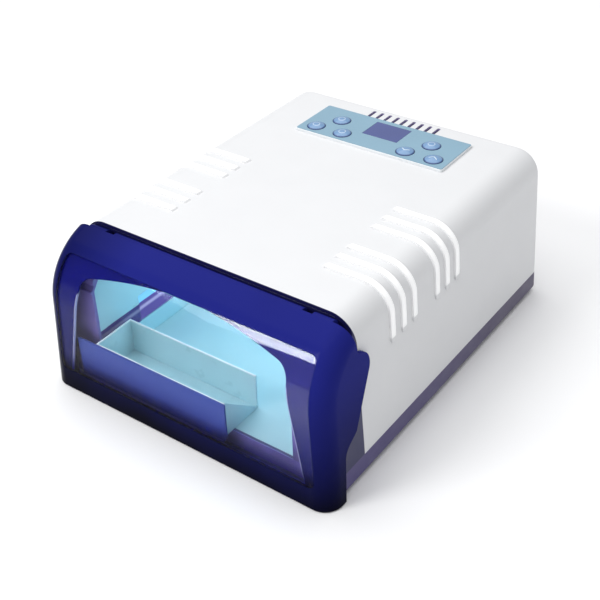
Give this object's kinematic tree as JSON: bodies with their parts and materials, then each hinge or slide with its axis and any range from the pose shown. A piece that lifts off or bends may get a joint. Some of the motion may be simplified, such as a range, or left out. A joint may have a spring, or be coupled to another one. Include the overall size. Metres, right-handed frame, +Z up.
{
  "type": "bench-top light-curing box",
  "caption": "Desktop light-curing box with an arched lamp-lit chamber, a flip-up tinted visor door, a push-in work tray, and a control panel on the cover.",
  "frame": {"origin": "on the table, under the middle of the closed box's bounding box", "axes": "+Z up, +Y from the door towards the rear panel, +X towards the right-hand side seen from the front"},
  "size_m": [0.2658, 0.3224, 0.1348],
  "materials": {
    "button_blue": "polished domes",
    "capacitor_sleeve": "shrink sleeve",
    "circuit_green": "lacquered board",
    "cover_white": "moulded, soft gloss",
    "diffuser_white": "opal",
    "display_glass": "polished",
    "door_blue": "tinted, polished",
    "fan_black": "moulded",
    "fitting_black": "moulded",
    "floor_sheet": "satin coat",
    "led_cyan": "clear lens",
    "magnet_nickel": "plated",
    "module_black": "plain",
    "overlay_blue": "printed film, satin",
    "pan_grey": "fine grain",
    "panel_grey": "powder coat",
    "prong_nickel": "nickel plated",
    "reed_white": "plain",
    "reflector": "bright rolled sheet",
    "rubber_dark": "dull",
    "screw_steel": "zinc plated",
    "shield_blue": "polished sheet",
    "sink_aluminium": "extruded",
    "transformer_tape": "taped winding",
    "tray_metal": "satin",
    "window_clear": "clear, polished"
  },
  "bodies": {
    "cabinet": {"base_pan": "pan_grey", "base_screws": "screw_steel", "chamber_back": "reflector", "chamber_floor": "floor_sheet", "chamber_liner": "reflector", "control_board": "circuit_green", "display_module": "module_black", "display_window": "display_glass", "door_bumpers": "rubber_dark", "fan_frame": "fan_black", "fan_screws": "screw_steel", "front_bezel": "cover_white", "inlet_prongs": "prong_nickel", "interlock_switch": "reed_white", "key_switches": "module_black", "lamp_leds": "led_cyan", "panel_overlay": "overlay_blue", "panel_plate": "cover_white", "power_inlet": "fitting_black", "rear_panel": "panel_grey", "rear_panel_screws": "screw_steel", "rocker_housing": "fitting_black", "roof_left_diffuser": "diffuser_white", "roof_left_heat_sink": "sink_aluminium", "roof_left_lamp_board": "circuit_green", "roof_right_diffuser": "diffuser_white", "roof_right_heat_sink": "sink_aluminium", "roof_right_lamp_board": "circuit_green", "rubber_feet": "rubber_dark", "side_left_diffuser": "diffuser_white", "side_left_heat_sink": "sink_aluminium", "side_left_lamp_board": "circuit_green", "side_right_diffuser": "diffuser_white", "side_right_heat_sink": "sink_aluminium", "side_right_lamp_board": "circuit_green", "supply_board": "circuit_green", "supply_capacitors": "capacitor_sleeve", "supply_heat_sink": "sink_aluminium", "supply_standoffs": "reed_white", "supply_transformer": "transformer_tape", "upper_cover": "cover_white"},
    "door": {"door_shell": "door_blue", "window_pane": "window_clear", "window_rails": "door_blue", "hinge_pins": "screw_steel", "interlock_magnet": "magnet_nickel"},
    "tray": {"work_tray": "tray_metal", "tray_shield": "shield_blue"},
    "fan": {"fan_rotor": "fan_black"},
    "rocker": {"rocker_switch": "fitting_black"},
    "button_1": {"button_1": "button_blue"},
    "button_2": {"button_2": "button_blue"},
    "button_3": {"button_3": "button_blue"},
    "button_4": {"button_4": "button_blue"},
    "button_5": {"button_5": "button_blue"},
    "button_6": {"button_6": "button_blue"}
  },
  "joints": [
    {"name": "door_hinge", "type": "hinge", "parent": "cabinet", "child": "door", "pos_m": [0, -0.11892, 0.1235], "axis": [-1, 0, 0], "range_deg": [0, 100]},
    {"name": "tray_slide", "type": "slide", "parent": "cabinet", "child": "tray", "axis": [0, 1, 0], "range_m": [0, 0.0073]},
    {"name": "fan_spin", "type": "hinge", "parent": "cabinet", "child": "fan", "pos_m": [-0.035, 0.15, 0.066], "axis": [0, 1, 0], "continuous": true},
    {"name": "rocker_throw", "type": "hinge", "parent": "cabinet", "child": "rocker", "pos_m": [0.026, 0.1555, 0.066], "axis": [1, 0, 0], "range_deg": [0, 16]},
    {"name": "button_1_press", "type": "slide", "parent": "cabinet", "child": "button_1", "axis": [0, 0, -1], "range_m": [0, 0.0008], "stiffness_N_per_m": 300, "springref_m": -0.0005},
    {"name": "button_2_press", "type": "slide", "parent": "cabinet", "child": "button_2", "axis": [0, 0, -1], "range_m": [0, 0.0008], "stiffness_N_per_m": 300, "springref_m": -0.0005},
    {"name": "button_3_press", "type": "slide", "parent": "cabinet", "child": "button_3", "axis": [0, 0, -1], "range_m": [0, 0.0008], "stiffness_N_per_m": 300, "springref_m": -0.0005},
    {"name": "button_4_press", "type": "slide", "parent": "cabinet", "child": "button_4", "axis": [0, 0, -1], "range_m": [0, 0.0008], "stiffness_N_per_m": 300, "springref_m": -0.0005},
    {"name": "button_5_press", "type": "slide", "parent": "cabinet", "child": "button_5", "axis": [0, 0, -1], "range_m": [0, 0.0008], "stiffness_N_per_m": 300, "springref_m": -0.0005},
    {"name": "button_6_press", "type": "slide", "parent": "cabinet", "child": "button_6", "axis": [0, 0, -1], "range_m": [0, 0.0008], "stiffness_N_per_m": 300, "springref_m": -0.0005}
  ]
}
